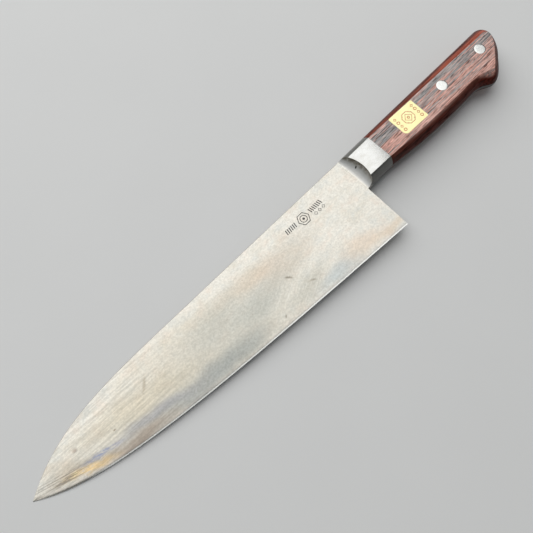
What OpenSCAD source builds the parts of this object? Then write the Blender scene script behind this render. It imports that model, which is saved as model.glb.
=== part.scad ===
// Western-handled gyuto chef knife, lying on its right side.
// X runs from the tip to the butt, Y from the cutting edge to the spine, Z up out of the left side.

/* [Blade] */
// Length of the blade along X, from the neck's lower corner to the tip
blade_l = 238.8; // [225:0.1:250]
// Height of the blade at the heel
heel_h = 53.5; // [50:0.5:58]
// Thickness of the spine, neck and tang
spine_t = 2.2; // [1.8:0.1:2.8]
// Thickness of the spine at the tip
tip_t = 0.9; // [0.6:0.1:1.4]
// Thickness just above the sharpened bevel
behind_edge_t = 0.4; // [0.3:0.05:0.8]
// Height of the sharpened bevel
bevel_h = 1.2; // [0.8:0.1:2]
// Fullness of the ground faces, where 1 is a flat wedge and more is convex
grind = 2.6; // [1.5:0.1:4]
// Drop of the tip below the line of the spine
tip_drop = 18.5; // [14:0.5:24]
// Length of the spine's curved front part
nose_l = 98; // [80:1:120]
// Rise of the spine towards the tip, per unit of length
spine_rise = 0.004; // [0:0.001:0.01]
// Forward lean of the heel's back edge, per unit of height
heel_lean = 0.026; // [0:0.002:0.05]

/* [Handle] */
// Length of the handle, from the bolster's front edge to the butt
handle_l = 125.2; // [120:0.2:135]
// Thickness over both scales
handle_t = 16; // [14:0.5:20]
// Length of the bolster on its flat side
bolster_l = 15.6; // [12:0.2:20]
// Height of the spine line above the rivet line
spine_y = 12.1; // [11:0.1:14]
// Depth of the neck below the rivet line
neck_y = 11.3; // [10:0.1:12.5]
// Reach of the bolster's concave front along the blade
fillet_l = 5.5; // [4:0.5:8]
// Exponent of the rounded sides, where 1 is a chamfer and more is fuller
side_round = 2.2; // [1.4:0.1:3]

/* [Rivets] */
// Distance between rivet centres
rivet_pitch = 36; // [32:0.5:38]
// Distance from the bolster's front edge to the front rivet
rivet_x = 36.4; // [32:0.2:38]
// Height of the rivet line
rivet_y = 0.3; // [-1:0.1:1]
// Diameter of the heads
rivet_head_d = 7; // [6:0.2:8]
// Thickness of the heads
rivet_head_t = 1.6; // [1:0.1:2]
// Outer diameter of the tube half
rivet_tube_d = 5; // [4.4:0.2:5.6]
// Diameter of the solid pin
rivet_pin_d = 3.2; // [2.6:0.2:3.8]

/* [Label] */
// Length of the sticker along the handle
label_l = 19.2; // [14:0.2:22]
// Height of the sticker
label_h = 14.1; // [10:0.1:15]
// Distance from the bolster's front edge to the sticker's middle
label_x = 41.8; // [36:0.2:50]
// Height of the sticker's middle
label_y = 0.4; // [-1:0.1:1]
// Tilt of the sticker on the handle, in degrees
label_tilt = -1.6; // [-4:0.2:4]
// Thickness of the foil
label_t = 0.12; // [0.08:0.02:0.3]
// Radius of the sticker's corners
label_r = 0.8; // [0.4:0.1:2]

/* [Hidden] */
rivets = ["front", "middle", "rear"];
$fn = 64;

half_t = handle_t / 2;              // the middle plane of the blade and tang is at this height
tang_z = half_t + spine_t / 2;      // left face of the tang
tang_hole_d = rivet_tube_d + 0.2;   // the tube passes through the tang with clearance
pin_gap = 0.5;                      // the pin ends this far short of the tube's head

// Outline of the blade, from the bolster's front edge: X towards the butt, Y towards the spine. The heel's
// back edge leans about its corner with the neck, and the tang starts there, under the bolster's fillets.
heel = [-5.4, spine_y - heel_h];
tip = [heel[0] - blade_l, spine_y - tip_drop + 0.6];
nose = [tip[0] + nose_l, spine_y + spine_rise * (blade_l - nose_l)];
tip_h = 0.5;                        // the very tip is this tall, so it isn't a needle
spine_chamfer = 0.25;
stations = 40;                      // cross-sections along the blade
tip_crowding = 1.7;                 // more than 1 draws the sections together at the tip
section_rows = [0, 0.08, 0.2, 0.4, 0.6, 0.8, 1];     // points on each ground face, from the bevel to the spine

// The cutting edge and the nose of the spine are one Bezier curve each
edge_curve = [heel, heel + [0.647 * (tip[0] - heel[0]), 0.303 * (tip[1] - heel[1])],
              heel + [0.875 * (tip[0] - heel[0]), 0.463 * (tip[1] - heel[1])], tip];
nose_curve = [nose, [nose[0] - 0.46 * nose_l, nose[1] + 0.15],
              [nose[0] - 0.74 * nose_l, nose[1] - 0.1 * tip_drop], tip];

// Outlines of the grip as Bezier corners: at the middle plane, and round the flat outer face
butt = handle_l;
mid_curves = [
    [[butt - 5.7, spine_y + 0.5], [butt - 1.7, spine_y + 0.5], [butt, spine_y - 1.7], [butt, spine_y - 5.6]],
    [[butt, spine_y - 5.6], [butt - 0.2, -1.5], [butt - 4.4, -6.4], [butt - 9.7, -10.4]],
    [[butt - 9.7, -10.4], [butt - 14.2, -14], [butt - 18.7, -19.2], [butt - 24.4, -19.2]],
    [[butt - 24.4, -19.2], [butt - 28.7, -19.2], [butt - 30.2, -14.4], [butt - 39.2, -14.3]],
    [[butt - 39.2, -14.3], [butt - 63, -15.4], [40, -14.9], [bolster_l, -neck_y - 0.3]]];
face_curves = [
    [[butt - 9.2, 6.4], [butt - 5.7, 6.3], [butt - 3.4, 6.1], [butt - 3.4, 3.8]],
    [[butt - 3.4, 3.8], [butt - 3.7, 0.6], [butt - 8, -3.9], [butt - 12.8, -7.7]],
    [[butt - 12.8, -7.7], [butt - 15.7, -10.3], [butt - 18.7, -12.6], [butt - 21.2, -14.4]],
    [[butt - 21.2, -14.4], [butt - 25.7, -12.6], [butt - 30.2, -10.6], [butt - 39.2, -10.5]],
    [[butt - 39.2, -10.5], [butt - 63, -10.8], [40, -9.9], [bolster_l, -8.7]]];
curve_steps = [6, 8, 8, 8, 8];
face_front_y = [8.1, -8.7];         // spine and belly ends of the flat face at the joint with the bolster

// Outline of the bolster's flat face, and the hollow of its front edge
bolster_face_y = [8, -8.3];
hollow_x = 0.3;                     // the front edge's deepest point is this far behind its nominal line
hollow_side = 0.1;                  // that point's shift towards the belly, in half heights
hollow = 1.74;                      // depth of the hollow, from its deepest point to its horns
foot_hollow = 0.2;                  // the same where the fillet runs out on the blade
layers = 6;                         // slices through each half of the grip
fillet_layers = 10;                 // slices through each half of the bolster
front_steps = 10;                   // points along the bolster's front edge

// Middle of the whole knife in X and Y, which becomes the origin
mid_x = (tip[0] + butt) / 2;
mid_y = (heel[1] + spine_y + 0.6) / 2;

function mix(a, b, s) = a + (b - a) * s;
function bez(p, t) = pow(1 - t, 3) * p[0] + 3 * t * pow(1 - t, 2) * p[1]
                   + 3 * t * t * (1 - t) * p[2] + pow(t, 3) * p[3];
// Point of a curve at a given X, found by halving
function bez_at(p, x, lo = 0, hi = 1, n = 24) =
    let (m = (lo + hi) / 2, q = bez(p, m))
    n == 0 ? q
    : abs(q[0] - p[0][0]) < abs(x - p[0][0]) ? bez_at(p, x, m, hi, n - 1)
    : bez_at(p, x, lo, m, n - 1);

function reversed(a) = [for (i = [len(a) - 1:-1:0]) a[i]];

// Solid skinned over rings of equal length. The first and last ring are closed by a fan of triangles
// from the ring's point number hub, which has to see every other point of its ring.
module skin(rings, hub = 0) {
    n = len(rings[0]);
    m = len(rings);
    last = (m - 1) * n;
    fan = [for (i = [1:n - 2]) [hub, (hub + i) % n, (hub + i + 1) % n]];
    polyhedron(
        points = [for (r = rings, p = r) p],
        faces = concat(
            [for (f = fan) reversed(f)],
            [for (j = [0:m - 2], i = [0:n - 1])
                let (k = (i + 1) % n)
                each [[j * n + i, j * n + k, (j + 1) * n + k],
                      [j * n + i, (j + 1) * n + k, (j + 1) * n + i]]],
            [for (f = fan) [for (i = f) last + i]]));
}

// Moves a solid from the bolster's front edge to the knife's own origin
module placed() {
    translate([-mid_x, -mid_y, 0]) children();
}

// The right-hand copy of a left-hand solid
module flipped() {
    translate([0, 0, handle_t]) mirror([0, 0, 1]) children();
}

/* ---- Blade ---- */

function spine_at(x) = x > nose[0] ? spine_y + spine_rise * (heel[0] - x) : bez_at(nose_curve, x)[1];

// Half thickness of the ground face at a height v, from 0 at the bevel to 1 at the spine
function ground(v, t) = mix(behind_edge_t / 2, t / 2, 1 - pow(1 - v, grind));

// Cross-section at a distance u along the blade, from 0 at the heel to 1 at the tip
function section(u) =
    let (x = mix(heel[0], tip[0], u),
         y0 = min(bez_at(edge_curve, x)[1], tip[1] - tip_h / 2),
         y1 = max(spine_at(x), tip[1] + tip_h / 2),
         h = y1 - y0,
         t = mix(spine_t, tip_t, u),
         bevel = min(bevel_h, h * 0.4),
         chamfer = min(spine_chamfer, h * 0.2),
         lean = heel_lean * pow(1 - u, 8),
         rise = [for (v = section_rows) [mix(y0 + bevel, y1 - chamfer, v), ground(v, t)]],
         side = concat(rise, [[y1, t / 2 - chamfer]]))
    [for (p = concat([[y0, 0]], side, [for (i = [len(side) - 1:-1:0]) [side[i][0], -side[i][1]]]))
        [x + lean * (p[0] + neck_y), p[0], half_t + p[1]]];

// Outline of the grip at a slice h, from 0 at the middle plane to 1 at the flat face
function grip_ring(h) =
    let (s = pow(h, side_round))
    concat(
        [mix([bolster_l, spine_y + 0.1], [bolster_l, face_front_y[0]], s)],
        [for (c = [0:len(mid_curves) - 1], i = [0:curve_steps[c] - 1])
            let (t = i / curve_steps[c])
            mix(bez(mid_curves[c], t), bez(face_curves[c], t), s)],
        [mix([bolster_l, -neck_y - 0.3], [bolster_l, face_front_y[1]], s)]);

module tang_plate() {
    outline = concat([[heel[0], spine_y], [0, spine_y]], grip_ring(0), [[0, -neck_y], [heel[0], -neck_y]]);
    translate([0, 0, half_t - spine_t / 2]) linear_extrude(spine_t) polygon(outline);
}

module blade() {
    color([0.86, 0.84, 0.79]) placed() difference() {
        union() {
            skin([for (i = [0:stations]) reversed(section(1 - pow(1 - i / stations, tip_crowding)))]);
            tang_plate();
        }
        for (i = [0:len(rivets) - 1])
            translate([rivet_x + i * rivet_pitch, rivet_y, 0]) cylinder(d = tang_hole_d, h = handle_t);
    }
}

/* ---- Bolster ---- */

// X of the bolster's front at a height v, from -1 at the belly to 1 at the spine, on a slice g,
// from 0 where the fillet runs out on the blade to 1 at the flat face
function front_x(v, g) =
    mix(-fillet_l - foot_hollow * v * v, hollow_x - hollow * pow(v + hollow_side, 2), sqrt(1 - pow(1 - g, 2)));

function bolster_ring(g) =
    let (z = mix(tang_z, handle_t, g),
         s = pow((z - half_t) / half_t, side_round),
         top = mix([spine_y, spine_y + 0.1], [bolster_face_y[0], face_front_y[0]], s),
         low = mix([-neck_y, -neck_y - 0.3], [bolster_face_y[1], face_front_y[1]], s))
    concat(
        [for (i = [0:front_steps])
            let (f = i / front_steps)
            [front_x(2 * f - 1, g), mix(low[0], top[0], f), z]],
        [[bolster_l, top[1], z], [bolster_l, low[1], z]]);

module bolster_half() {
    skin([for (i = [0:fillet_layers]) reversed(bolster_ring(i / fillet_layers))]);
}

module bolster_left() {
    color([0.83, 0.82, 0.79]) placed() bolster_half();
}

module bolster_right() {
    color([0.83, 0.82, 0.79]) placed() flipped() bolster_half();
}

/* ---- Scales ---- */

module scale_half() {
    g0 = (tang_z - half_t) / half_t;
    rings = [for (i = [0:layers])
        let (h = mix(g0, 1, 1 - pow(1 - i / layers, 1.5)))
        reversed([for (p = grip_ring(h)) [p[0], p[1], half_t + h * half_t]])];
    butt_corner = len(rings[0]) - 2;
    difference() {
        skin(rings, butt_corner);
        for (i = [0:len(rivets) - 1])
            translate([rivet_x + i * rivet_pitch, rivet_y, 0]) {
                cylinder(d = rivet_tube_d, h = handle_t + 1);
                translate([0, 0, handle_t - rivet_head_t]) cylinder(d = rivet_head_d, h = rivet_head_t + 1);
            }
    }
}

module scale_left() {
    color([0.47, 0.29, 0.25]) placed() scale_half();
}

module scale_right() {
    color([0.47, 0.29, 0.25]) placed() flipped() scale_half();
}

/* ---- Rivets ---- */

// The tube half enters from the left side, and its head is flush with the left scale
module rivet_female(i) {
    tube_end = rivet_head_t + 0.2;
    color([0.88, 0.88, 0.86]) placed() translate([rivet_x + i * rivet_pitch, rivet_y, 0]) difference() {
        union() {
            translate([0, 0, handle_t - rivet_head_t]) cylinder(d = rivet_head_d, h = rivet_head_t);
            translate([0, 0, tube_end]) cylinder(d = rivet_tube_d, h = handle_t - rivet_head_t - tube_end);
        }
        cylinder(d = rivet_pin_d, h = handle_t - rivet_head_t);
    }
}

// The pin half is pressed into the tube from the right side
module rivet_male(i) {
    color([0.88, 0.88, 0.86]) placed() translate([rivet_x + i * rivet_pitch, rivet_y, 0]) {
        cylinder(d = rivet_head_d, h = rivet_head_t);
        cylinder(d = rivet_pin_d, h = handle_t - rivet_head_t - pin_gap);
    }
}

/* ---- Label ---- */

module label() {
    color([0.95, 0.92, 0.72]) placed() translate([label_x, label_y, handle_t]) rotate([0, 0, label_tilt])
        linear_extrude(label_t) offset(r = label_r, $fn = 24)
            square([label_l - 2 * label_r, label_h - 2 * label_r], center = true);
}

blade();
bolster_left();
bolster_right();
scale_left();
scale_right();
rivet_female(0);  // rivet_front_female
rivet_male(0);  // rivet_front_male
rivet_female(1);  // rivet_middle_female
rivet_male(1);  // rivet_middle_male
rivet_female(2);  // rivet_rear_female
rivet_male(2);  // rivet_rear_male
label();
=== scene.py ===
# Looks of a western-handled gyuto chef knife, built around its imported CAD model.
# Shapes are in millimetres in the knife's own measure: X from the bolster's front edge towards the butt,
# Y from the handle's axis towards the spine, Z up from the flat face that it lies on. to_row() takes them
# into the row frame, in metres.
import math

import bmesh
import bpy
from mathutils import Matrix, Vector


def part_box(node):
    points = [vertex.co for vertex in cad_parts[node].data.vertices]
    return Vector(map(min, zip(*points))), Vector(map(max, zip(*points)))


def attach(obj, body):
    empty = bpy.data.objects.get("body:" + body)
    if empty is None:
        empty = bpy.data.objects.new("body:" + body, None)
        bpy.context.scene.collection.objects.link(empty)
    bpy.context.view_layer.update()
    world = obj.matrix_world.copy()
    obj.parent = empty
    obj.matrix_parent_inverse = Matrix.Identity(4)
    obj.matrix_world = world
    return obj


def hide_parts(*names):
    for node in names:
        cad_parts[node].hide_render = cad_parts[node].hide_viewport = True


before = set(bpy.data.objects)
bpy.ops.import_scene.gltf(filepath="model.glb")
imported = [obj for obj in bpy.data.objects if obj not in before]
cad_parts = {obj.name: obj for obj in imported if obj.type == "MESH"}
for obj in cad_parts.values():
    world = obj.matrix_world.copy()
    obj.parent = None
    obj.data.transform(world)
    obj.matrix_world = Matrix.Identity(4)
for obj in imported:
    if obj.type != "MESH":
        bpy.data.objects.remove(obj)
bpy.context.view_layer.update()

MM = 0.001

# Blade
BLADE_LENGTH = 238.8
HEEL_HEIGHT = 53.5
SPINE_T = 2.2
TIP_T = 0.9
BEHIND_EDGE_T = 0.4
BEVEL_HEIGHT = 1.2
GRIND = 2.6                 # fullness of the ground faces, where 1 is a flat wedge
TIP_DROP = 18.5
TIP_LIFT = 0.6              # the point is this much higher than its drop says, because the spine rises
NOSE_LENGTH = 98
SPINE_RISE = 0.004
HEEL_LEAN = 0.026
LEAN_FADE = 8               # the greater this is, the sooner the heel's lean fades out along the blade
TIP_HEIGHT = 0.12
TIP_TAPER = 4               # the blade thins towards its point where it is less than a few times this high
TIP_LOSS = 0.9              # share of its thickness that it would lose where its height is nothing
SPINE_CHAMFER = 0.25

# Where the section is low or thin, these limit what is above to a share of its height or thickness
BEVEL_SHARE = 0.3
CHAMFER_SHARE = 0.2
BEHIND_EDGE_SHARE = 0.4

# Handle
BUTT = 125.2
HANDLE_T = 16
MIDDLE = HANDLE_T / 2       # height of the middle plane of blade and tang
TANG_TOP = MIDDLE + SPINE_T / 2
BOLSTER_LENGTH = 15.6
SPINE_Y = 12.1
NECK_Y = -11.3
BELLY_STEP = 0.3            # the belly is this much lower at the wood than at the bolster's front edge
BUTT_RISE = 0.5             # the spine is this much higher near the butt than at the bolster's front edge
FILLET = 5.5
SIDE_ROUND = 2.2            # fullness of the handle's sides, where 1 is a flat slope

# Rivets
RIVET_X = 36.4
RIVET_PITCH = 36
RIVET_Y = 0.3
HEAD_D = 7
HEAD_T = 1.6
TUBE_D = 5
TUBE_GAP = 0.2              # left between the tube's end and the other half's head
TUBE_CHAMFER = 0.15
PIN_D = 3.2
PIN_GAP = 0.5               # left between the pin's end and the bottom of its bore
PIN_CHAMFER = 0.3
TANG_HOLE_D = TUBE_D + 0.2
RIVETS = ["front", "middle", "rear"]
RIVET_PLACES = [(RIVET_X + i * RIVET_PITCH, RIVET_Y) for i in range(len(RIVETS))]

# Outer part of a head from its axis out, as pairs of a share of the radius and a fall below the face,
# then its rounded rim, as pairs of a distance in from the rim and a fall
HEAD_CROWN = [(0, 0), (0.45, 0), (0.8, 0.012)]
HEAD_RIM = [(0.14, 0.03), (0.04, 0.08), (0, 0.2), (0, HEAD_T)]

HEEL = Vector((-5.4, SPINE_Y - HEEL_HEIGHT))
TIP = Vector((HEEL.x - BLADE_LENGTH, SPINE_Y - TIP_DROP + TIP_LIFT))
NOSE = Vector((TIP.x + NOSE_LENGTH, SPINE_Y + SPINE_RISE * (BLADE_LENGTH - NOSE_LENGTH)))

rivet_low, rivet_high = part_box("rivet_front_female")
rivet_middle = (rivet_low + rivet_high) / 2
ORIGIN = Vector((rivet_middle.x - RIVET_X * MM, rivet_middle.y - RIVET_Y * MM, 0))


def to_row(point):
    return ORIGIN + Vector(point) * MM


def mix(a, b, share):
    return a + (b - a) * share


def bezier(points, t):
    a, b, c, d = (Vector(p) for p in points)
    return (1 - t) ** 3 * a + 3 * t * (1 - t) ** 2 * b + 3 * t * t * (1 - t) * c + t ** 3 * d


HALVINGS = 26


def bezier_y(points, x):
    """Y of a curve at a given X, by halving."""
    low, high = 0.0, 1.0
    start = points[0][0]
    for _ in range(HALVINGS):
        t = (low + high) / 2
        if abs(bezier(points, t).x - start) < abs(x - start):
            low = t
        else:
            high = t
    return bezier(points, (low + high) / 2).y


# ---- Outlines, the same as the CAD model's but for a finer point ----

EDGE_CURVE = [HEEL, HEEL + Vector((0.647 * (TIP - HEEL).x, 0.303 * (TIP - HEEL).y)),
              HEEL + Vector((0.875 * (TIP - HEEL).x, 0.463 * (TIP - HEEL).y)), TIP]
NOSE_CURVE = [NOSE, (NOSE.x - 0.46 * NOSE_LENGTH, NOSE.y + 0.15),
              (NOSE.x - 0.74 * NOSE_LENGTH, NOSE.y - 0.1 * TIP_DROP), TIP]

BUTT_TOP = [(BUTT - 5.7, SPINE_Y + BUTT_RISE), (BUTT - 1.7, SPINE_Y + BUTT_RISE),
            (BUTT, SPINE_Y - 1.7), (BUTT, SPINE_Y - 5.6)]
BUTT_END = [(BUTT, SPINE_Y - 5.6), (BUTT - 0.2, -1.5), (BUTT - 4.4, -6.4), (BUTT - 9.7, -10.4)]
BEAK_REAR = [(BUTT - 9.7, -10.4), (BUTT - 14.2, -14), (BUTT - 18.7, -19.2), (BUTT - 24.4, -19.2)]
BEAK_FRONT = [(BUTT - 24.4, -19.2), (BUTT - 28.7, -19.2), (BUTT - 30.2, -14.4), (BUTT - 39.2, -14.3)]
BELLY = [(BUTT - 39.2, -14.3), (BUTT - 63, -15.4), (40, -14.9), (BOLSTER_LENGTH, NECK_Y - BELLY_STEP)]
MID_CURVES = [BUTT_TOP, BUTT_END, BEAK_REAR, BEAK_FRONT, BELLY]
FACE_CURVES = [
    [(BUTT - 9.2, 6.4), (BUTT - 5.7, 6.3), (BUTT - 3.4, 6.1), (BUTT - 3.4, 3.8)],
    [(BUTT - 3.4, 3.8), (BUTT - 3.7, 0.6), (BUTT - 8, -3.9), (BUTT - 12.8, -7.7)],
    [(BUTT - 12.8, -7.7), (BUTT - 15.7, -10.3), (BUTT - 18.7, -12.6), (BUTT - 21.2, -14.4)],
    [(BUTT - 21.2, -14.4), (BUTT - 25.7, -12.6), (BUTT - 30.2, -10.6), (BUTT - 39.2, -10.5)],
    [(BUTT - 39.2, -10.5), (BUTT - 63, -10.8), (40, -9.9), (BOLSTER_LENGTH, -8.7)]]
CURVE_STEPS = [12, 18, 16, 20, 28]

# Y of the spine and belly ends of the joint between bolster and grip, at the middle plane and on the flat
# face, and of the bolster's front edge on the flat face
JOINT_MID = (SPINE_Y + 0.1, NECK_Y - BELLY_STEP)
JOINT_FACE = (8.1, -8.7)
BOLSTER_FACE = (8.0, -8.3)


def grip_ring(h):
    """Outline of the grip at a slice h, from 0 at the middle plane to 1 at the flat face."""
    s = h ** SIDE_ROUND
    ring = [(BOLSTER_LENGTH, mix(JOINT_MID[0], JOINT_FACE[0], s))]
    for mid, face, steps in zip(MID_CURVES, FACE_CURVES, CURVE_STEPS):
        for i in range(steps):
            ring.append(tuple(mix(bezier(mid, i / steps), bezier(face, i / steps), s)))
    ring.append((BOLSTER_LENGTH, mix(JOINT_MID[1], JOINT_FACE[1], s)))
    return ring


def spine_at(x):
    if x > NOSE.x:
        return SPINE_Y + SPINE_RISE * (HEEL.x - x)
    return bezier_y(NOSE_CURVE, x)


def edge_at(x):
    return bezier_y(EDGE_CURVE, x)


def profile_at(x):
    """Edge, bevel's top, chamfer's foot, spine and spine thickness of the section at a given X."""
    y0 = min(edge_at(x), TIP.y - TIP_HEIGHT / 2)
    y1 = max(spine_at(x), TIP.y + TIP_HEIGHT / 2)
    height = y1 - y0
    t = mix(SPINE_T, TIP_T, (HEEL.x - x) / BLADE_LENGTH) * (1 - TIP_LOSS * math.exp(-height / TIP_TAPER))
    low = y0 + min(BEVEL_HEIGHT, BEVEL_SHARE * height)
    return y0, low, y1 - min(SPINE_CHAMFER, CHAMFER_SHARE * t), y1, t


def ground(v, t):
    """Half thickness of the ground face at a height v, from 0 at the bevel to 1 at the spine."""
    return mix(min(BEHIND_EDGE_T, BEHIND_EDGE_SHARE * t) / 2, t / 2, 1 - max(0.0, 1 - v) ** GRIND)


def blade_top(x, y):
    """Height of the blade's left face at a point."""
    _, low, high, _, t = profile_at(x)
    return MIDDLE + ground(min(1.0, max(0.0, (y - low) / (high - low))), t)


# ---- Meshes ----

# In millimetres: points closer than NEW_JOIN become one in a new mesh, and edges shorter than SHORT_EDGE go.
# In a finished mesh, points closer than JOIN become one
NEW_JOIN = 0.002
SHORT_EDGE = 0.001
JOIN = 0.0008
SLIT_SIDES = 4              # a hole with up to this many edges is a slit and is filled
LATHE_STEPS = 72            # sides of a round piece
BEVEL_SEGMENTS = 3          # faces across a rounded edge

# In degrees: only edges sharper than ROUND_ANGLE are rounded, and those sharper than SHARP_ANGLE, or than
# BLADE_SHARP_ANGLE on the blade, are shaded as edges
ROUND_ANGLE = 20
SHARP_ANGLE = 28
BLADE_SHARP_ANGLE = 9


def object_from(name, points, faces, second=()):
    """A mesh object from points in knife millimetres. The faces in second take its second material."""
    mesh = bpy.data.meshes.new(name)
    mesh.from_pydata([to_row(p) for p in points], [], faces)
    second = set(second)
    for polygon, face in zip(mesh.polygons, faces):
        polygon.material_index = 1 if face in second else 0
    work = bmesh.new()
    work.from_mesh(mesh)
    bmesh.ops.remove_doubles(work, verts=work.verts, dist=NEW_JOIN * MM)
    bmesh.ops.dissolve_degenerate(work, edges=work.edges, dist=SHORT_EDGE * MM)
    bmesh.ops.recalc_face_normals(work, faces=work.faces)
    work.to_mesh(mesh)
    work.free()
    made = bpy.data.objects.new(name, mesh)
    bpy.context.scene.collection.objects.link(made)
    return made


def skin(rings):
    """Points and faces of a solid over rings of equal length, closed by flat ends."""
    n = len(rings[0])
    points = [p for ring in rings for p in ring]
    faces = [tuple(range(n - 1, -1, -1))]
    for j in range(len(rings) - 1):
        for i in range(n):
            k = (i + 1) % n
            faces.append((j * n + i, j * n + k, (j + 1) * n + k, (j + 1) * n + i))
    faces.append(tuple(range((len(rings) - 1) * n, len(rings) * n)))
    return points, faces


def lathe(name, profile, centre, steps=LATHE_STEPS):
    """A round piece about a vertical axis, from (radius, height) pairs that start and end on the axis."""
    points = [(centre[0], centre[1], profile[0][1]), (centre[0], centre[1], profile[-1][1])]
    for radius, height in profile[1:-1]:
        for i in range(steps):
            a = 2 * math.pi * i / steps
            points.append((centre[0] + radius * math.cos(a), centre[1] + radius * math.sin(a), height))
    count = len(profile) - 2
    faces = []
    for i in range(steps):
        k = (i + 1) % steps
        faces.append((0, 2 + k, 2 + i))
        faces.append((1, 2 + (count - 1) * steps + i, 2 + (count - 1) * steps + k))
        for j in range(count - 1):
            a, b = 2 + j * steps, 2 + (j + 1) * steps
            faces.append((a + i, a + k, b + k, b + i))
    return object_from(name, points, faces)


def apply_modifier(piece, kind, **settings):
    """Adds a modifier and puts its result in place of the piece's mesh."""
    modifier = piece.modifiers.new(kind.lower(), kind)
    for key, value in settings.items():
        setattr(modifier, key, value)
    bpy.context.view_layer.update()
    evaluated = piece.evaluated_get(bpy.context.evaluated_depsgraph_get())
    mesh = bpy.data.meshes.new_from_object(evaluated)
    piece.modifiers.clear()
    old = piece.data
    piece.data = mesh
    bpy.data.meshes.remove(old)


def cut(piece, tool):
    """Takes the tool's shape out of a piece and removes the tool."""
    apply_modifier(piece, "BOOLEAN", operation="DIFFERENCE", solver="EXACT", object=tool)
    bpy.data.objects.remove(tool)


def round_edges(piece, width, weigh):
    """Bevels edges by the share of the width that weigh() gives for their end points, in millimetres."""
    work = bmesh.new()
    work.from_mesh(piece.data)
    layer = work.edges.layers.float.new("bevel_weight_edge")
    for edge in work.edges:
        if edge.is_manifold and edge.calc_face_angle() > math.radians(ROUND_ANGLE):
            edge[layer] = weigh(*((v.co - ORIGIN) / MM for v in edge.verts))
    work.to_mesh(piece.data)
    work.free()
    apply_modifier(piece, "BEVEL", width=width * MM, segments=BEVEL_SEGMENTS, limit_method="WEIGHT")


def mend(piece):
    """Joins points that lie on each other and fills the slits of no width that cuts and bevels leave."""
    work = bmesh.new()
    work.from_mesh(piece.data)
    bmesh.ops.remove_doubles(work, verts=work.verts, dist=JOIN * MM)
    bmesh.ops.holes_fill(work, edges=work.edges, sides=SLIT_SIDES)
    bmesh.ops.recalc_face_normals(work, faces=work.faces)
    work.to_mesh(piece.data)
    work.free()


def shade(piece, angle=SHARP_ANGLE):
    """Mends a piece and shades it smooth but for the edges sharper than this many degrees."""
    mend(piece)
    for face in piece.data.polygons:
        face.use_smooth = True
    piece.data.set_sharp_from_angle(angle=math.radians(angle))


def hand_over(piece, materials, slot, *nodes):
    """Gives a finished piece its materials and its place in the frame."""
    for material in materials:
        piece.data.materials.append(material)
    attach(piece, "root")
    if nodes:
        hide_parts(*nodes)


# ---- Materials ----

SPOT_DEPTH = 60             # half size of a spot along Z, far more than the knife's thickness


def linear(value):
    """Linear value of one colour channel from its sRGB value of 0 to 255."""
    if value < 11:
        return value / 255 / 12.92
    return ((value / 255 + 0.055) / 1.055) ** 2.4


def srgb(r, g, b):
    """Linear colour from sRGB values of 0 to 255."""
    return linear(r), linear(g), linear(b), 1.0


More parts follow.
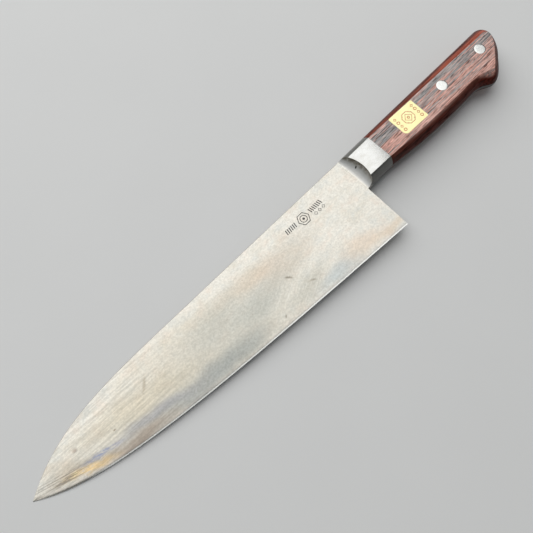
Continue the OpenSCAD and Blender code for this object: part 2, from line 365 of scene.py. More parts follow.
class Finish:
    """A node material under construction. Its patterns are laid out in knife millimetres."""

    def __init__(self, name):
        self.material = bpy.data.materials.new(name)
        self.material.use_nodes = True
        self.tree = self.material.node_tree
        self.surface = self.tree.nodes["Principled BSDF"]
        here = self.add("TexCoord", {})["Object"]
        self.place = self.moved(here, location=ORIGIN, scale=(MM, MM, MM))

    def add(self, kind, inputs, **settings):
        node = self.tree.nodes.new("ShaderNode" + kind)
        for key, value in settings.items():
            setattr(node, key, value)
        for key, value in inputs.items():
            self.put(node.inputs[key], value)
        return node.outputs

    def put(self, socket, value):
        if isinstance(value, bpy.types.NodeSocket):
            self.tree.links.new(value, socket)
        else:
            socket.default_value = value

    def set(self, **inputs):
        for key, value in inputs.items():
            self.put(self.surface.inputs[key.replace("_", " ")], value)

    def moved(self, vector, location=(0, 0, 0), scale=(1, 1, 1), turn=0.0):
        """Coordinates in a frame with this place, size and turn about Z."""
        rotation = (0, 0, math.radians(turn))
        inputs = {"Vector": vector, "Location": location, "Rotation": rotation, "Scale": scale}
        return self.add("Mapping", inputs, vector_type="TEXTURE")["Vector"]

    def noise(self, size=(1, 1, 1), detail=4.0, roughness=0.5, distortion=0.0, turn=0.0, shift=0.0,
              vector=None):
        """Noise whose features are about this size, in millimetres along X, Y and Z."""
        vector = self.moved(vector or self.place, (shift, 0, 0), size, turn)
        inputs = {"Vector": vector, "Scale": 1.0, "Detail": detail, "Roughness": roughness,
                  "Distortion": distortion}
        return self.add("TexNoise", inputs)["Fac"]

    def math(self, operation, *values):
        return self.add("Math", dict(enumerate(values)), operation=operation)[0]

    def times(self, a, b):
        return self.math("MULTIPLY", a, b)

    def step(self, value, low, high):
        """0 below low, 1 above high and smooth between. low may be the greater."""
        inputs = {"Value": value, "From Min": low, "From Max": high}
        return self.add("MapRange", inputs, interpolation_type="SMOOTHSTEP")[0]

    def blend(self, share, a, b, mode="MIX"):
        return self.add("Mix", {0: share, 6: a, 7: b}, data_type="RGBA", blend_type=mode)[2]

    def mixed(self, share, a, b):
        """The same as blend() for numbers."""
        return self.add("Mix", {0: share, 2: a, 3: b}, data_type="FLOAT")[0]

    def tinted(self, colour, mask, strength, tint):
        """A colour with an sRGB tint over it, as far as a mask times a strength says."""
        return self.blend(self.times(mask, strength), colour, srgb(*tint))

    def between(self, value, low, high):
        """Takes a value of 0 to 1 to the range from low to high."""
        inputs = {"Value": value, "To Min": low, "To Max": high}
        return self.add("MapRange", inputs)[0]

    def spot(self, centre, size, turn=0.0, vector=None, core=0.15):
        """1 in the middle of a soft ellipse, falling to 0 at its rim."""
        vector = self.moved(vector or self.place, (*centre, MIDDLE), (*size, SPOT_DEPTH), turn)
        ball = self.add("TexGradient", {"Vector": vector}, gradient_type="SPHERICAL")["Fac"]
        return self.step(ball, 0.0, 1 - core)

    def axis(self, name):
        return self.add("SeparateXYZ", {"Vector": self.place})[name]

    def facing(self, name):
        return self.add("SeparateXYZ", {"Vector": self.add("NewGeometry", {})["Normal"]})[name]

    def sides(self):
        """1 on what faces the spine's or the belly's side, 0 on what faces up, down or along."""
        return self.step(self.math("ABSOLUTE", self.facing("Y")), 0.45, 0.75)

    def bump(self, height, distance, strength=1.0, normal=None):
        inputs = {"Height": height, "Distance": distance * MM, "Strength": strength}
        if normal:
            inputs["Normal"] = normal
        return self.add("Bump", inputs)["Normal"]

    def warped(self, size, amount):
        """The place, pushed about by noise."""
        vector = self.moved(self.place, scale=(size, size, size))
        push = self.add("TexNoise", {"Vector": vector, "Scale": 1.0, "Detail": 3.0})["Color"]
        centred = self.add("VectorMath", {0: push, 1: (0.5, 0.5, 0.5)}, operation="SUBTRACT")[0]
        scaled = self.add("VectorMath", {0: centred, "Scale": amount}, operation="SCALE")[0]
        return self.add("VectorMath", {0: self.place, 1: scaled}, operation="ADD")[0]


# Stains on the blade: middle, half size and tilt, then colour and strength
STAINS = [
    ((-146, -22), (125, 31), -3, (206, 202, 190), 0.7),
    ((-146, 2), (60, 14), -3, (220, 212, 195), 0.4),
    ((-180, -7), (56, 12), -9, (222, 209, 181), 0.4),
    ((-120, -6), (34, 14), 2, (198, 198, 190), 0.6),
    ((-94, -14), (32, 11), 6, (190, 194, 189), 0.6),
    ((-70, -7), (36, 14), 2, (212, 202, 188), 0.6),
    ((-86, -2), (22, 7), -4, (230, 208, 188), 0.4),
    ((-98, 0), (30, 8), 0, (214, 204, 188), 0.5),
    ((-70, -26), (20, 7), 12, (197, 196, 186), 0.5),
    ((-54, -33.5), (24, 6.5), -5, (198, 208, 212), 0.65),
    ((-33, -32), (22, 8), -6, (238, 218, 198), 0.55),
    ((-14, -36), (20, 4), -3, (234, 214, 190), 0.5),
    ((-148, -24), (42, 8), -6, (154, 160, 163), 0.6),
    ((-122, -25), (32, 9), -4, (168, 173, 171), 0.65),
    ((-176, -17.5), (34, 4.6), -9, (162, 164, 172), 0.6),
    ((-188, -21), (34, 5.5), -11, (164, 150, 138), 0.75),
    ((-218, -11), (26, 5), -21, (176, 165, 148), 0.45),
    ((-224, -5), (18, 7), -35, (204, 192, 173), 0.45),
    ((-169, -1.5), (6, 1.2), 50, (176, 164, 144), 0.5),
    ((-215, -3), (2.2, 1.6), 0, (170, 152, 140), 0.6),
    ((-75, -16), (3.2, 0.9), -38, (138, 130, 116), 0.8),
    ((-68, -25), (2.4, 1.0), -30, (158, 150, 136), 0.7),
    ((-91, -29.5), (1.6, 0.8), 40, (140, 132, 118), 0.7),
    ((-193, -9), (1.2, 0.5), 0, (130, 112, 92), 0.8)]
REFLECTANCE = srgb(217, 216, 213)


def scratch_lines(steel, length, width, turn, shift, low=0.6):
    return steel.step(steel.noise((length, width, 3), 2.0, 0.5, 0.2, turn, shift), low, low + 0.1)


def ground_colour(steel):
    """Colour of the ground and stained blade, and the strokes in it."""
    waved = steel.warped(20, 8)
    colour = srgb(243, 240, 232)
    mottle = steel.noise((16, 10, 9), detail=6, roughness=0.6)
    colour = steel.blend(steel.step(mottle, 0.45, 0.66), colour, srgb(235, 231, 221))
    bloom = steel.noise((8, 6, 9), detail=4, roughness=0.6, shift=52)
    colour = steel.tinted(colour, steel.step(bloom, 0.5, 0.68), 0.35, (243, 226, 212))
    colour = steel.tinted(colour, steel.step(bloom, 0.5, 0.34), 0.35, (220, 226, 226))
    for centre, size, turn, tint, strength in STAINS:
        colour = steel.tinted(colour, steel.spot(centre, size, turn, waved), strength, tint)

    # Heat colours near the front of the edge: gold under a thin line of blue, broken up by the grinding
    blotch = steel.noise((5, 1.1, 3), detail=4, roughness=0.7, turn=-18, shift=21)
    broken = steel.step(blotch, 0.3, 0.5)
    torn = steel.warped(6, 4)
    gold = steel.times(steel.spot((-214, -14), (20, 3.4), -20, torn), broken)
    colour = steel.blend(gold, colour, srgb(240, 213, 168))
    gleam = steel.times(steel.spot((-224, -10.4), (12, 2), -20, torn), steel.step(blotch, 0.48, 0.6))
    colour = steel.blend(gleam, colour, srgb(244, 228, 184))
    blue = steel.times(steel.spot((-206, -12.4), (18, 2), -12, torn), steel.step(blotch, 0.66, 0.44))
    colour = steel.tinted(colour, blue, 0.75, (148, 159, 192))

    # Dark scratches that run back from the point
    run = steel.step(steel.noise((20, 0.7, 3), detail=4, roughness=0.7, turn=-17, shift=61), 0.5, 0.58)
    run = steel.times(steel.spot((-227, -8.8), (22, 5), -19), run)
    colour = steel.tinted(colour, run, 0.75, (122, 114, 106))

    # Lengthwise streaks in the front third, slanting strokes towards the heel, a mottle in between
    front = steel.step(steel.axis("X"), -125, -180)
    lengthwise = steel.noise((24, 1.2, 3), detail=6, roughness=0.7, turn=-3)
    slanting = steel.noise((12, 1.6, 3), detail=6, roughness=0.7, distortion=0.5, turn=24, shift=7)
    strokes = steel.noise((2.4, 1.9, 3), detail=5, roughness=0.7, shift=44)
    for mask, other in ((steel.spot((-76, -18), (44, 20), 10), slanting), (front, lengthwise)):
        strokes = steel.mixed(mask, strokes, other)
    depth = steel.between(front, 0.12, 0.25)
    gap = steel.times(steel.step(strokes, 0.62, 0.38), depth)
    lift = steel.math("MULTIPLY_ADD", depth, 0.44, 1.0)
    colour = steel.blend(1.0, colour, steel.math("SUBTRACT", lift, gap), "MULTIPLY")
    sweep = steel.step(steel.noise((12, 0.8, 3), detail=3, roughness=0.6, turn=27, shift=70), 0.55, 0.64)
    sweep = steel.times(steel.spot((-70, -22), (34, 16), 12), sweep)
    colour = steel.tinted(colour, sweep, 0.5, (244, 243, 236))
    grain = steel.noise((1.2, 1.0, 3), detail=3, roughness=0.6, shift=40)
    colour = steel.blend(1.0, colour, steel.between(steel.step(grain, 0.38, 0.62), 0.93, 1.06), "MULTIPLY")
    return steel.blend(1.0, colour, REFLECTANCE, "MULTIPLY"), strokes


def scratched(steel, colour, amount=1.0):
    """Fine scratches in several directions: their share, and the colour with them."""
    layers = [scratch_lines(steel, 28, 0.10, -4, 3), scratch_lines(steel, 17, 0.08, 33, 9),
              scratch_lines(steel, 12, 0.07, -38, 15, 0.64), scratch_lines(steel, 34, 0.13, 7, 27, 0.63)]
    share = layers[0]
    for layer in layers[1:]:
        share = steel.math("MAXIMUM", share, layer)
    return share, steel.tinted(colour, share, 0.22 * amount, (134, 130, 122))


def blade_finish():
    steel = Finish("blade_steel")
    colour, strokes = ground_colour(steel)
    share, colour = scratched(steel, colour)
    speck = steel.step(steel.noise((1.1, 0.8, 4), detail=2, shift=31), 0.73, 0.78)
    colour = steel.tinted(colour, speck, 0.6, (112, 98, 80))
    # Painted shade: the tang, from the bolster's front edge back to the butt, is darkened to dark grey for
    # the shade it lies in between the scales
    colour = steel.blend(steel.step(steel.axis("X"), -4, 0), colour, srgb(84, 84, 82))
    hammer = steel.noise((30, 16, 16), detail=2, shift=11)
    normal = steel.bump(hammer, 0.05, 0.5)
    normal = steel.bump(steel.times(share, -1.0), 0.006, 0.7, normal)
    fine = steel.noise((14, 0.06, 3), detail=3, roughness=0.7, turn=-2, shift=5)
    normal = steel.bump(fine, 0.003, 0.6, normal)
    roughness = steel.math("ADD", steel.between(strokes, 0.22, 0.4), steel.times(share, 0.12))
    steel.set(Base_Color=colour, Metallic=1.0, Roughness=roughness, Normal=normal)
    return steel.material


def edge_finish():
    steel = Finish("sharpened_edge")
    strokes = steel.noise((1.4, 7, 3), detail=5, roughness=0.7, turn=18)
    colour = steel.blend(strokes, srgb(228, 227, 222), srgb(252, 252, 248))
    colour = steel.blend(steel.step(steel.axis("X"), -202, -222), colour, srgb(150, 147, 140))
    steel.set(Base_Color=colour, Metallic=1.0, Roughness=steel.between(strokes, 0.16, 0.34),
              Normal=steel.bump(strokes, 0.004, 0.5))
    return steel.material


def bolster_finish(pit):
    """Polished steel, which runs out into the ground blade at the foot of the fillet."""
    steel = Finish("bolster_steel")
    blade_colour, _ = ground_colour(steel)
    cloud = steel.noise((5, 3.4, 5), detail=5, roughness=0.6)
    colour = steel.blend(steel.step(cloud, 0.35, 0.7), srgb(210, 210, 207), srgb(198, 197, 192))
    colour = steel.blend(steel.step(steel.axis("X"), -3.6, -5.6), colour, blade_colour)
    forward = steel.times(steel.facing("X"), -1.0)
    hollow = steel.step(forward, 0.03, 0.5)
    # Painted highlight: the fillet is lightened where it faces forward, towards the blade
    colour = steel.blend(steel.step(forward, 0.25, 0.7), colour, srgb(240, 240, 237))
    tarnish = steel.times(steel.step(forward, 0.8, 0.98), steel.step(cloud, 0.25, 0.6))
    colour = steel.tinted(colour, tarnish, 0.75, (108, 92, 58))
    # Painted shade: the bolster's sides are darkened by the way they face, the belly's side more than the
    # spine's
    shaded = steel.blend(steel.step(steel.facing("Y"), -0.4, 0.4), srgb(50, 50, 47), srgb(98, 97, 90))
    colour = steel.blend(steel.times(steel.sides(), 0.85), colour, shaded)
    hole = steel.times(steel.spot(pit, (0.72, 0.55), 30, core=0.6),
                       steel.step(steel.axis("Z"), MIDDLE, MIDDLE + 1))
    colour = steel.blend(hole, colour, srgb(26, 20, 16))
    share, colour = scratched(steel, colour, 0.7)
    brushed = steel.noise((0.09, 5, 5), detail=4, roughness=0.7)
    normal = steel.bump(brushed, 0.003, 0.6)
    normal = steel.bump(steel.times(share, -1.0), 0.005, 0.6, normal)
    roughness = steel.math("ADD", steel.between(brushed, 0.18, 0.34), steel.times(hollow, 0.34))
    steel.set(Base_Color=colour, Metallic=steel.between(hole, 1.0, 0.2), Normal=normal, Roughness=roughness)
    return steel.material


def wood_finish():
    """Resin-bonded wood: grey with salmon streaks, more of them towards the belly. Its sides are dark red,
    partly its own colour and partly painted shade that is darker on the belly's side.
    """
    wood = Finish("handle_wood")
    waved = wood.warped(30, 0.7)
    bands = wood.noise((42, 1.5, 2.4), detail=6, roughness=0.6, vector=waved)
    flecks = wood.noise((16, 0.8, 0.9), detail=5, roughness=0.7, shift=33, vector=waved)
    streaks = wood.mixed(0.5, bands, flecks)
    redder = wood.between(wood.step(wood.axis("Y"), 3, -4), -0.05, 0.03)
    streaks = wood.math("ADD", streaks, redder)
    fibre = wood.noise((18, 0.65, 0.7), detail=6, roughness=0.78, shift=5, vector=waved)
    pores = wood.step(wood.noise((8, 0.6, 0.6), detail=3, roughness=0.6, shift=17, vector=waved), 0.57, 0.64)
    tooth = wood.noise((10, 0.8, 0.8), detail=3, shift=71, vector=waved)
    colour = wood.blend(wood.step(streaks, 0.44, 0.57), srgb(160, 161, 160), srgb(238, 180, 164))
    colour = wood.tinted(colour, wood.step(fibre, 0.5, 0.64), 0.6, (250, 214, 200))
    colour = wood.tinted(colour, wood.step(fibre, 0.49, 0.36), 0.8, (98, 68, 62))
    colour = wood.blend(1.0, colour, wood.between(wood.step(tooth, 0.36, 0.64), 0.86, 1.16), "MULTIPLY")
    nicks = wood.noise((3.2, 1.0, 1.0), detail=2, shift=88)
    colour = wood.blend(1.0, colour, wood.between(wood.step(nicks, 0.36, 0.64), 0.9, 1.1), "MULTIPLY")
    colour = wood.tinted(colour, pores, 0.8, (58, 32, 28))
    slope = wood.math("ABSOLUTE", wood.facing("Y"))
    spine = wood.step(wood.facing("Y"), -0.1, 0.1)
    upright = wood.math("ABSOLUTE", wood.facing("Z"))
    # Partly painted shade: the sides are darkened by the way they face, the belly's side more than the
    # spine's; the rest of the dark red is the wood's own colour
    sides = wood.step(upright, wood.between(spine, 0.89, 0.97), wood.between(spine, 0.66, 0.8))
    tint = wood.blend(spine, srgb(92, 46, 36), srgb(140, 78, 66))
    colour = wood.blend(sides, colour, tint, "MULTIPLY")
    above = wood.math("ABSOLUTE", wood.math("SUBTRACT", wood.axis("Z"), MIDDLE))
    # Painted highlight: a light reddish line along the rounded edges where the sides meet the flat faces,
    # stronger on the spine's side and there towards the butt
    rim = wood.times(wood.step(slope, 0.2, 0.4), wood.step(above, 5, 6.8))
    rear = wood.between(wood.step(wood.axis("X"), 55, 90), 0.2, 0.55)
    rim = wood.times(rim, wood.mixed(spine, 0.12, rear))
    rim = wood.times(rim, wood.between(wood.step(fibre, 0.38, 0.6), 0.5, 1.1))
    colour = wood.blend(rim, colour, wood.blend(spine, srgb(196, 132, 112), srgb(222, 118, 92)))
    height = wood.math("SUBTRACT", fibre, pores)
    whole = wood.math("SUBTRACT", 1.0, pores)
    gloss = wood.times(wood.step(fibre, 0.36, 0.6), whole)
    wood.set(Base_Color=colour, Roughness=wood.between(fibre, 0.42, 0.3),
             Normal=wood.bump(height, 0.04, 0.6),
             Specular_IOR_Level=wood.times(gloss, wood.between(sides, 0.6, 0.14)))
    return wood.material


def rivet_finish():
    metal = Finish("rivet_metal")
    brushed = metal.noise((3.5, 0.09, 0.12), detail=4, roughness=0.7, turn=12)
    cloud = metal.noise((2.4, 2.4, 2.4), detail=4, shift=9)
    colour = metal.blend(cloud, srgb(235, 236, 233), srgb(226, 227, 222))
    share, colour = scratched(metal, colour, 0.9)
    colour = metal.tinted(colour, metal.step(brushed, 0.45, 0.6), 0.3, (196, 197, 192))
    metal.set(Base_Color=colour, Metallic=1.0, Roughness=metal.between(brushed, 0.2, 0.38),
              Normal=metal.bump(metal.math("SUBTRACT", brushed, share), 0.004, 0.6))
    return metal.material


def foil_finish():
    foil = Finish("label_foil")
    crinkle = foil.noise((1.3, 1.3, 1.3), detail=5, roughness=0.6)
    cloud = foil.noise((6, 4, 6), detail=3, shift=4)
    colour = foil.blend(cloud, srgb(255, 246, 178), srgb(255, 252, 204))
    foil.set(Base_Color=colour, Metallic=0.8, Roughness=foil.between(crinkle, 0.36, 0.5),
             Normal=foil.bump(crinkle, 0.02, 0.35))
    return foil.material


def ink_finish(name, tint, worn_tint, roughness):
    ink = Finish(name)
    worn = ink.noise((0.7, 0.5, 1), detail=4, roughness=0.7)
    colour = ink.blend(ink.step(worn, 0.42, 0.66), srgb(*tint), srgb(*worn_tint))
    ink.set(Base_Color=colour, Roughness=roughness, Normal=ink.bump(worn, 0.004, 0.4))
    return ink.material


# ---- Blade and tang ----

BLADE_STEPS = 20            # faces between the bevel and the spine
ROW_CROWDING = 1.3          # above 1, these faces are narrower near the bevel
BLADE_ROWS = [(i / BLADE_STEPS) ** ROW_CROWDING for i in range(BLADE_STEPS + 1)]
BLADE_STATIONS = 210
TIP_CROWDING = 1.35         # above 1, the sections lie closer together near the tip
NECK_END = -1.0             # the tang has its full thickness from here on, inside the bolster
TANG_STATIONS = 120
BUTT_CROWDING = 2.2         # above 1, the sections lie closer together near the butt
TANG_LEAST = 0.5            # least height of a section of the tang
TANG_CHAMFER = 0.02
SHARP_SHARE = 0.55          # share of the bevel's height that is freshly sharpened


def closed_section(x_of, y0, side):
    """Ring of a section from its lowest point and its left side, mirrored to the right."""
    ring = [(x_of(y0), y0, MIDDLE)]
    ring += [(x_of(y), y, MIDDLE + z) for y, z in side]
    ring += [(x_of(y), y, MIDDLE - z) for y, z in reversed(side)]
    return ring


def blade_side(x):
    """Lowest point of the section at a given X, and its side from the sharpened edge's top to the spine."""
    y0, low, high, y1, t = profile_at(x)
    sharp = (mix(y0, low, SHARP_SHARE), SHARP_SHARE * ground(0.0, t))
    side = [sharp] + [(mix(low, high, v), ground(v, t)) for v in BLADE_ROWS]
    return y0, side + [(y1, t / 2 - (y1 - high))]


def blade_ring(u):
    """Section at a distance u along the blade, from 0 at the heel to 1 at the tip."""
    x = mix(HEEL.x, TIP.x, u)
    y0, side = blade_side(x)
    lean = HEEL_LEAN * (1 - u) ** LEAN_FADE
    return closed_section(lambda y: x + lean * (y - NECK_Y), y0, side)


def neck_ring(x, swell):
    """Section of the neck: the heel's section above NECK_Y, swelling from 0 to the tang's thickness at 1."""
    _, side = blade_side(HEEL.x)
    corner = max(z for y, z in side if y <= NECK_Y)
    neck = [(max(y, NECK_Y), mix(max(z, corner), SPINE_T / 2, swell)) for y, z in side[:-1]]
    return closed_section(lambda y: x, NECK_Y, neck + side[-1:])


def tang_low(x):
    if x < BOLSTER_LENGTH:
        return NECK_Y - BELLY_STEP * max(0, x) / BOLSTER_LENGTH
    for curve in reversed(MID_CURVES[1:]):
        if x <= curve[0][0]:
            return bezier_y(curve, x)
    return BUTT_END[0][1]


def tang_high(x):
    straight_end = BUTT_TOP[0][0]
    if x < straight_end:
        return SPINE_Y + BUTT_RISE * x / straight_end
    return bezier_y(BUTT_TOP, x)


def tang_ring(x):
    """Section of the tang, with as many points as the blade's: its first row stands twice."""
    low, high = tang_low(x), tang_high(x)
    if high - low < TANG_LEAST:
        low, high = high - TANG_LEAST / 2, high + TANG_LEAST / 2
    side = [(mix(low, high, v), SPINE_T / 2) for v in BLADE_ROWS[:1] + BLADE_ROWS]
    return closed_section(lambda y: x, low, side + [(high, SPINE_T / 2 - TANG_CHAMFER)])


def build_blade():
    """Blade, neck and tang in one. The faces beside the edge take the second material."""
    rings = [blade_ring(1 - (i / BLADE_STATIONS) ** TIP_CROWDING) for i in range(BLADE_STATIONS + 1)]
    rings.append(neck_ring(HEEL.x, 0.0))
    rings.append(neck_ring(NECK_END, 1.0))
    for i in range(TANG_STATIONS + 1):
        rings.append(tang_ring(mix(0.0, BUTT, 1 - (1 - i / TANG_STATIONS) ** BUTT_CROWDING)))
    points, faces = skin(rings)
    ring_size = len(rings[0])
    blade_faces = faces[1:1 + BLADE_STATIONS * ring_size]
    sharpened = [face for face in blade_faces if 0 in (face[0] % ring_size, face[1] % ring_size)]
    blade = object_from("blade_and_tang", points, faces, sharpened)
    hole = [(0, 0), (TANG_HOLE_D / 2, 0), (TANG_HOLE_D / 2, HANDLE_T), (0, HANDLE_T)]
    for place in RIVET_PLACES:
        cut(blade, lathe("hole", hole, place))
    shade(blade, BLADE_SHARP_ANGLE)
    return blade


# ---- Bolster, scales and rivets ----

NEAR = 0.01                 # what is closer than this to a plane lies on it

BOLSTER_SLICES = 36
FRONT_STEPS = 44
HOLLOW_X = 0.3              # X of the front edge's rearmost point, on the flat face
HOLLOW_SIDE = 0.1           # how far towards the belly that point lies, where 1 is all the way
HOLLOW = 1.74               # how far forward the front edge curves within half its width
FOOT_HOLLOW = 0.2           # the same for the fillet's foot
BOLSTER_ROUND = 0.2
BOLSTER_JOINT_SHARE = 0.3   # share of that on the edges at the joint with the wood

# The small pit in the fillet: its middle, its radius and its cutter's steps from pole to pole
PIT = (-1.3, 2.0)
PIT_Z = 11.6
PIT_R = 0.45
PIT_STEPS = 12

SCALE_SLICES = 16
SLICE_CROWDING = 1.5        # above 1, the slices lie closer together near the flat face
SCALE_ROUND = 0.3
SCALE_JOINT_SHARE = 0.25    # share of that on the edges that start within JOINT_REACH of the bolster
JOINT_REACH = 1
OVERCUT = 1                 # how far a cutter stands out past the face that it cuts


def bolster_ring(turn):
    """Slice of the left bolster half, at a turn of its fillet: 0 at the foot, a quarter at the face."""
    g = 1 - math.cos(turn)
    z = mix(TANG_TOP, HANDLE_T, g)
    s = ((z - MIDDLE) / MIDDLE) ** SIDE_ROUND
    front = (mix(SPINE_Y, BOLSTER_FACE[0], s), mix(NECK_Y, BOLSTER_FACE[1], s))
    rear = (mix(JOINT_MID[0], JOINT_FACE[0], s), mix(JOINT_MID[1], JOINT_FACE[1], s))
    ring = []
    for i in range(FRONT_STEPS + 1):
        v = 2 * i / FRONT_STEPS - 1
        foot = -FILLET - FOOT_HOLLOW * v * v
        x = mix(foot, HOLLOW_X - HOLLOW * (v + HOLLOW_SIDE) ** 2, math.sin(turn))
        y = mix(front[1], front[0], (v + 1) / 2)
        ring.append((x, y, z - (TANG_TOP - blade_top(foot, y)) * (1 - g) ** 2))
    return ring + [(BOLSTER_LENGTH, rear[0], z), (BOLSTER_LENGTH, rear[1], z)]


def build_bolster(side):
    rings = [bolster_ring(math.pi / 2 * i / BOLSTER_SLICES) for i in range(BOLSTER_SLICES + 1)]
    piece = object_from("bolster_half_" + side, *skin(rings))

    def weigh(a, b):
        if min(a.z, b.z) > HANDLE_T - NEAR:
            return 1.0
        return BOLSTER_JOINT_SHARE if min(a.x, b.x) > BOLSTER_LENGTH - NEAR else 0.0

    round_edges(piece, BOLSTER_ROUND, weigh)
    if side == "left":
        turns = [math.pi * i / PIT_STEPS for i in range(PIT_STEPS + 1)]
        ball = [(PIT_R * math.sin(a), PIT_Z - PIT_R * math.cos(a)) for a in turns]
        cut(piece, lathe("ball", ball, PIT, 2 * PIT_STEPS))
    return piece


def build_scale(side):
    start = (TANG_TOP - MIDDLE) / MIDDLE
    rings = []
    for i in range(SCALE_SLICES + 1):
        h = mix(start, 1, 1 - (1 - i / SCALE_SLICES) ** SLICE_CROWDING)
        rings.append([(x, y, MIDDLE + h * MIDDLE) for x, y in grip_ring(h)])
    piece = object_from("scale_" + side + "_wood", *skin(rings))

    def weigh(a, _):
        return 1.0 if a.x > BOLSTER_LENGTH + JOINT_REACH else SCALE_JOINT_SHARE

    round_edges(piece, SCALE_ROUND, weigh)
    seat, top = HANDLE_T - HEAD_T, HANDLE_T + OVERCUT
    hole = [(0, 0), (TUBE_D / 2, 0), (TUBE_D / 2, seat), (HEAD_D / 2, seat), (HEAD_D / 2, top), (0, top)]
    for place in RIVET_PLACES:
        cut(piece, lathe("hole", hole, place))
    return piece


def turned_over(piece):
    """Mirrors a piece of the left side to the right one."""
    piece.data.transform(Matrix.Translation((0, 0, HANDLE_T * MM)) @ Matrix.Diagonal((1, 1, -1, 1)))
    piece.data.flip_normals()


def head_profile(face, inward):
    """Outer half of a rivet head, from the axis to the bottom of its rim. inward is -1 on the left side."""
    r = HEAD_D / 2
    crown = [(r * share, face + inward * fall) for share, fall in HEAD_CROWN]
    return crown + [(r - inset, face + inward * fall) for inset, fall in HEAD_RIM]


def build_rivet(name, place):
    """The two halves of a rivet, each with the name of the node that it stands for."""
    tube, pin = TUBE_D / 2, PIN_D / 2
    seat = HANDLE_T - HEAD_T
    tube_end = HEAD_T + TUBE_GAP
    pin_end = seat - PIN_GAP
    female = head_profile(HANDLE_T, -1)
    female += [(tube, seat), (tube, tube_end + TUBE_CHAMFER), (tube - TUBE_CHAMFER, tube_end)]
    female += [(pin, tube_end), (pin, seat), (0, seat)]
    male = head_profile(0, 1)
    male += [(pin, HEAD_T), (pin, pin_end - PIN_CHAMFER), (pin - PIN_CHAMFER, pin_end), (0, pin_end)]
    for half, profile in (("female", female), ("male", male)):
        node = f"rivet_{name}_{half}"
        piece = lathe(node + "_half", profile, place)
        shade(piece)
        yield piece, node


# ---- Label, its print and the blade's mark ----

LABEL_MIDDLE = (41.8, 0.4)
LABEL_SIZE = (19.2, 14.1)
LABEL_TILT = math.radians(-1.6)
LABEL_T = 0.12
LABEL_WAVE = 0.012          # how far it is off flat
LABEL_CORNER = 0.8
LABEL_ROUND_CORNER = 2.4    # radius of its corner towards the blade and the belly
LABEL_COLUMNS = 48
LABEL_ROWS = 36
PRINT_LIFT = 0.012          # how far the label's print stands out
MARK_LIFT = 0.01            # the same for the blade's mark
PRINT_ROOT = 0.03           # how far both reach into what they lie on
BAR_CORE = 0.02             # share of a bar's width that is left for the line inside it


def on_label(x, y):
    c, s = math.cos(LABEL_TILT), math.sin(LABEL_TILT)
    return LABEL_MIDDLE[0] + c * x - s * y, LABEL_MIDDLE[1] + s * x + c * y


def label_top(x, y):
    return HANDLE_T + LABEL_T + LABEL_WAVE * math.sin(0.9 * x + 0.5 * y) * math.sin(0.7 * y + 1)


def build_label():
    """A thin sheet, from a square grid that is drawn in at the corners to round them."""
    columns, rows = LABEL_COLUMNS, LABEL_ROWS
    half_x, half_y = LABEL_SIZE[0] / 2, LABEL_SIZE[1] / 2
    points = []
    for layer in (0, 1):
        for j in range(rows + 1):
            for i in range(columns + 1):
                x, y = half_x * (2 * i / columns - 1), half_y * (2 * j / rows - 1)
                r = LABEL_ROUND_CORNER if x < 0 and y < 0 else LABEL_CORNER
                dx, dy = max(0, abs(x) - half_x + r) / r, max(0, abs(y) - half_y + r) / r
                px = abs(x) - r * dx * (1 - math.sqrt(1 - dy * dy / 2))
                py = abs(y) - r * dy * (1 - math.sqrt(1 - dx * dx / 2))
                px, py = math.copysign(px, x), math.copysign(py, y)
                points.append((*on_label(px, py), label_top(px, py) if layer else HANDLE_T))
    n = columns + 1
    size = n * (rows + 1)
    faces = []
    for j in range(rows):
        for i in range(columns):
            a = j * n + i
            faces.append((a, a + n, a + n + 1, a + 1))
            faces.append((size + a, size + a + 1, size + a + n + 1, size + a + n))
    rim = list(range(n)) + [j * n + columns for j in range(1, rows + 1)]
    rim += [rows * n + i for i in range(columns - 1, -1, -1)] + [j * n for j in range(rows - 1, 0, -1)]
    for a, b in zip(rim, rim[1:] + rim[:1]):
        faces.append((a, b, size + b, size + a))
    return object_from("label_sheet", points, faces)


def ring_mark(x, y, radius, sides, stroke, turn=0.0):
    """Outline pair of a ring with this many sides."""
    angles = [math.radians(turn) + 2 * math.pi * i / sides for i in range(sides)]
    return [[(x + r * math.cos(a), y + r * math.sin(a)) for a in angles] for r in (radius, radius - stroke)]


def bar_mark(x, y, length, width, turn=0.0):
    """Outline pair of a short bar: its rim and a line inside it."""
    c, s = math.cos(math.radians(turn)), math.sin(math.radians(turn))
    pairs = []
    for inner in (1.0, BAR_CORE):
        a, b = length / 2 - width * (1 - inner) / 2, width / 2 * inner
        corners = [(a, b), (-a, b), (-a, -b), (a, -b)]
        pairs.append([(x + c * p - s * q, y + s * p + c * q) for p, q in corners])
    return pairs


def build_print(name, marks, place, height, lift):
    """Closed flat strokes that stand a hair above the surface that height() gives."""
    points, faces = [], []
    for outer, inner in marks:
        n, base = len(outer), len(points)
        for loop in (outer, inner):
            for x, y in loop:
                top = height(x, y)
                px, py = place(x, y)
                points += [(px, py, top + lift), (px, py, top - PRINT_ROOT)]
        for i in range(n):
            k = (i + 1) % n
            a, b, c, d = base + 2 * i, base + 2 * k, base + 2 * (n + i), base + 2 * (n + k)
            faces += [(a, b, d, c), (a, a + 1, b + 1, b), (c, d, d + 1, c + 1), (a + 1, c + 1, d + 1, b + 1)]
    return object_from(name, points, faces)


def label_marks():
    """An octagon, a square and a dot with four ticks, between two columns of rings and diamonds."""
    marks = [ring_mark(0, 0, 4.3, 8, 0.42, 22.5)]
    marks.append(ring_mark(0, 0, 2.9, 4, 0.42))
    marks.append(ring_mark(0, 0, 0.9, 24, 0.45))
    for i in range(4):
        a = math.pi / 4 + math.pi / 2 * i
        marks.append(bar_mark(3.75 * math.cos(a), 3.75 * math.sin(a), 0.7, 0.4, math.degrees(a)))
    for column in (-7.1, 7.1):
        for row in range(4):
            y = 4.2 - 2.8 * row
            marks.append(ring_mark(column, y, 1.05, 24 if row % 2 else 4, 0.45))
    return marks


MARK_MIDDLE = (-44.4, 2.1)


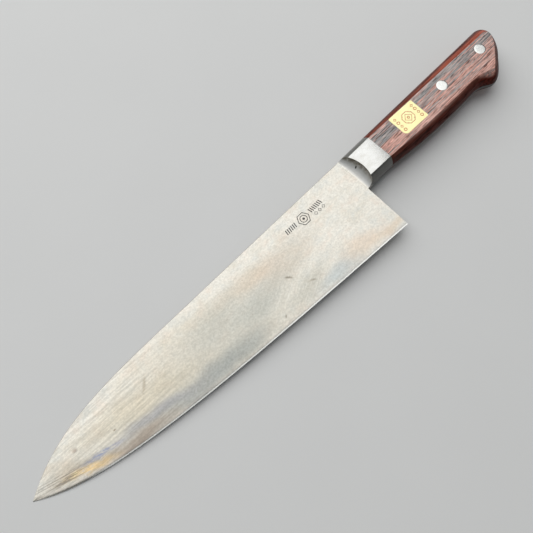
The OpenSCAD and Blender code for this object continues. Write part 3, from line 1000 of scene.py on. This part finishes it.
def blade_marks():
    """A hexagon with a ring and a dot, between two rows of bars, and three diamonds below the second row."""
    x0, y0 = MARK_MIDDLE
    marks = [ring_mark(x0, y0, 4.1, 6, 0.5)]
    marks.append(ring_mark(x0, y0, 2.3, 36, 0.45))
    marks.append(ring_mark(x0, y0, 0.75, 24, 0.7))
    for side, count in ((-1, 6), (1, 7)):
        for i in range(count):
            marks.append(bar_mark(x0 + side * (6.0 + 1.35 * i), y0 + 0.8, 3.0, 0.6, 90 + side * 12))
    for i in range(3):
        marks.append(ring_mark(x0 + 7.4 + 3 * i, y0 - 2.6, 1.2, 4, 0.4))
    return marks


# ---- Floor, light and camera ----

FLOOR_SLOPE = math.radians(1.84)    # the knife tips forward onto its blade's tip by this much
FLOOR_TOUCH = (-1.4, 0, 0)          # where the bolster's front edge meets the floor
FLOOR_REACH = 4                     # metres to each side

# The camera's axes, its place in metres, and its upward axis laid flat
CAMERA_RIGHT = Vector((0.6947, -0.7193, 0))
CAMERA_UP = Vector((0.6727, 0.6497, 0.3541))
CAMERA_PLACE = (-0.1174, -0.08285, 0.368)
FLAT_UP = Vector((0.7193, 0.6947, 0))
LENS = 47.95                        # millimetres, like the sensor
SENSOR = 36
CLIP_START = 0.01                   # metres

# One square lamp: its place in metres along the picture and above the origin, its side and its watts
LAMP_RIGHT = -0.38
LAMP_UP = 0.62
LAMP_HEIGHT = 1.2
LAMP_SIZE = 2.2
LAMP_POWER = 20.7
SKY_COLOUR = (0.92, 0.96, 1.0, 1)
SKY_STRENGTH = 0.19


def build_floor():
    mesh = bpy.data.meshes.new("floor")
    r = FLOOR_REACH
    mesh.from_pydata([(-r, -r, 0), (r, -r, 0), (r, r, 0), (-r, r, 0)], [], [(0, 1, 2, 3)])
    floor = bpy.data.objects.new("floor", mesh)
    bpy.context.scene.collection.objects.link(floor)
    floor.location = to_row(FLOOR_TOUCH)
    floor.rotation_euler = (0, FLOOR_SLOPE, 0)
    matt = Finish("floor_paint")
    cloud = matt.noise((60, 60, 60), detail=5)
    matt.set(Base_Color=matt.blend(cloud, srgb(231, 231, 229), srgb(235, 235, 233)), Roughness=0.75,
             Normal=matt.bump(matt.noise((0.8, 0.8, 0.8)), 0.02, 0.2))
    mesh.materials.append(matt.material)


def build_lights():
    lamp = bpy.data.lights.new("window", "AREA")
    lamp.shape = "SQUARE"
    lamp.size = LAMP_SIZE
    lamp.energy = LAMP_POWER
    holder = bpy.data.objects.new("window", lamp)
    holder.location = CAMERA_RIGHT * LAMP_RIGHT + FLAT_UP * LAMP_UP + Vector((0, 0, LAMP_HEIGHT))
    holder.rotation_euler = (-holder.location).to_track_quat("-Z", "Y").to_euler()
    bpy.context.scene.collection.objects.link(holder)
    world = bpy.data.worlds.new("studio")
    world.use_nodes = True
    world.node_tree.nodes["Background"].inputs["Color"].default_value = SKY_COLOUR
    world.node_tree.nodes["Background"].inputs["Strength"].default_value = SKY_STRENGTH
    bpy.context.scene.world = world
    bpy.context.scene.view_settings.view_transform = "Standard"


def build_camera():
    data = bpy.data.cameras.new("camera")
    data.lens = LENS
    data.sensor_width = SENSOR
    data.clip_start = CLIP_START
    camera = bpy.data.objects.new("camera", data)
    turn = Matrix((CAMERA_RIGHT, CAMERA_UP, CAMERA_RIGHT.cross(CAMERA_UP))).transposed()
    camera.matrix_world = Matrix.Translation(CAMERA_PLACE) @ turn.to_4x4()
    bpy.context.scene.collection.objects.link(camera)
    bpy.context.scene.camera = camera


# ---- The knife ----

blade = build_blade()
hand_over(blade, [blade_finish(), edge_finish()], "blade_steel", "blade")

bolster_steel = bolster_finish(PIT)
wood = wood_finish()
for side in ("left", "right"):
    bolster = build_bolster(side)
    scale = build_scale(side)
    if side == "right":
        turned_over(bolster)
        turned_over(scale)
    shade(bolster)
    shade(scale)
    hand_over(bolster, [bolster_steel], "bolster_steel", "bolster_" + side)
    hand_over(scale, [wood], "handle_wood", "scale_" + side)

rivet_metal = rivet_finish()
for name, place in zip(RIVETS, RIVET_PLACES):
    for piece, node in build_rivet(name, place):
        hand_over(piece, [rivet_metal], "rivet_metal", node)

label = build_label()
shade(label)
hand_over(label, [foil_finish()], "label_foil", "label")
label_print = build_print("label_print", label_marks(), on_label, label_top, PRINT_LIFT)
hand_over(label_print, [ink_finish("red_ink", (222, 104, 74), (240, 160, 110), 0.5)], "label_foil")
blade_mark = build_print("blade_mark", blade_marks(), lambda x, y: (x, y), blade_top, MARK_LIFT)
hand_over(blade_mark, [ink_finish("etched_grey", (70, 68, 70), (134, 132, 128), 0.55)], "blade_steel")

build_floor()
build_lights()
build_camera()
